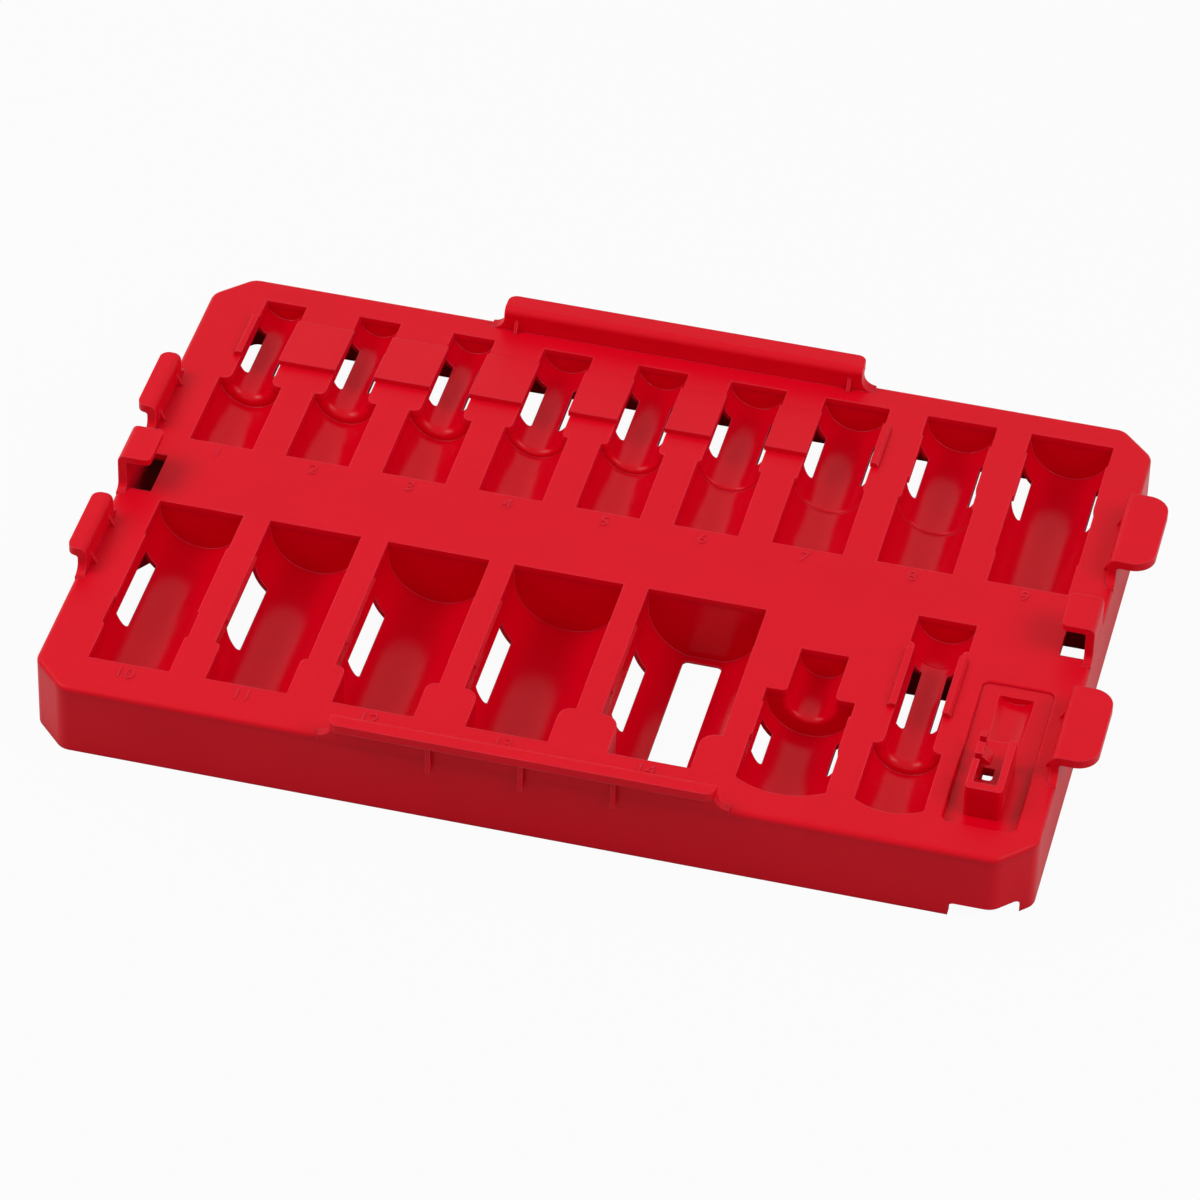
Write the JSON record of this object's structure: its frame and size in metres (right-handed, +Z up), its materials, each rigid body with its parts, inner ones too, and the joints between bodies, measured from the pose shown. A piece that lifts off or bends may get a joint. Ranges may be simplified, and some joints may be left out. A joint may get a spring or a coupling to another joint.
{
  "type": "socket tray",
  "caption": "Moulded tray with stepped half-round pockets that hold deep sockets lying down, with raised lugs, hooks and lips for a case and a latched post for an adapter",
  "frame": {"origin": "under the middle of the whole part, on the surface that it stands on", "axes": "+X along the long side, +Y to the side of the small pockets, +Z up"},
  "size_m": [0.2838, 0.1894, 0.033],
  "materials": {
    "moulding": "satin injection moulded polypropylene"
  },
  "bodies": {
    "tray": {"deck": "moulding", "front_skirt": "moulding", "rear_skirt": "moulding", "left_skirt": "moulding", "right_skirt": "moulding", "cradle_rear_1": "moulding", "cradle_rear_2": "moulding", "cradle_rear_3": "moulding", "cradle_rear_4": "moulding", "cradle_rear_5": "moulding", "cradle_rear_6": "moulding", "cradle_rear_7": "moulding", "cradle_rear_8": "moulding", "cradle_rear_9": "moulding", "cradle_front_1": "moulding", "cradle_front_2": "moulding", "cradle_front_3": "moulding", "cradle_front_4": "moulding", "cradle_front_5": "moulding", "cradle_front_6": "moulding", "cradle_front_7": "moulding", "left_rear_lug": "moulding", "left_front_lug": "moulding", "right_rear_lug": "moulding", "right_front_lug": "moulding", "left_hook": "moulding", "right_hook": "moulding", "rear_lip": "moulding", "front_lip": "moulding", "front_lip_ribs": "moulding", "cross_rib": "moulding", "left_web": "moulding", "right_web": "moulding", "retaining_wedge_1": "moulding", "retaining_wedge_2": "moulding", "retaining_wedge_3": "moulding", "retaining_wedge_4": "moulding", "retaining_wedge_5": "moulding", "retaining_wedge_6": "moulding", "rear_left_rail": "moulding", "rear_right_rail": "moulding", "front_left_rail": "moulding", "front_right_rail": "moulding", "adapter_pan": "moulding", "adapter_post": "moulding", "adapter_stop": "moulding"},
    "latch": {"adapter_latch": "moulding"}
  },
  "joints": [
    {"name": "latch_flex", "type": "hinge", "parent": "tray", "child": "latch", "pos_m": [0.1114, -0.05805, 0.02116], "axis": [0, -1, 0], "range_deg": [0, 12], "stiffness_Nm_per_rad": 0.1}
  ]
}
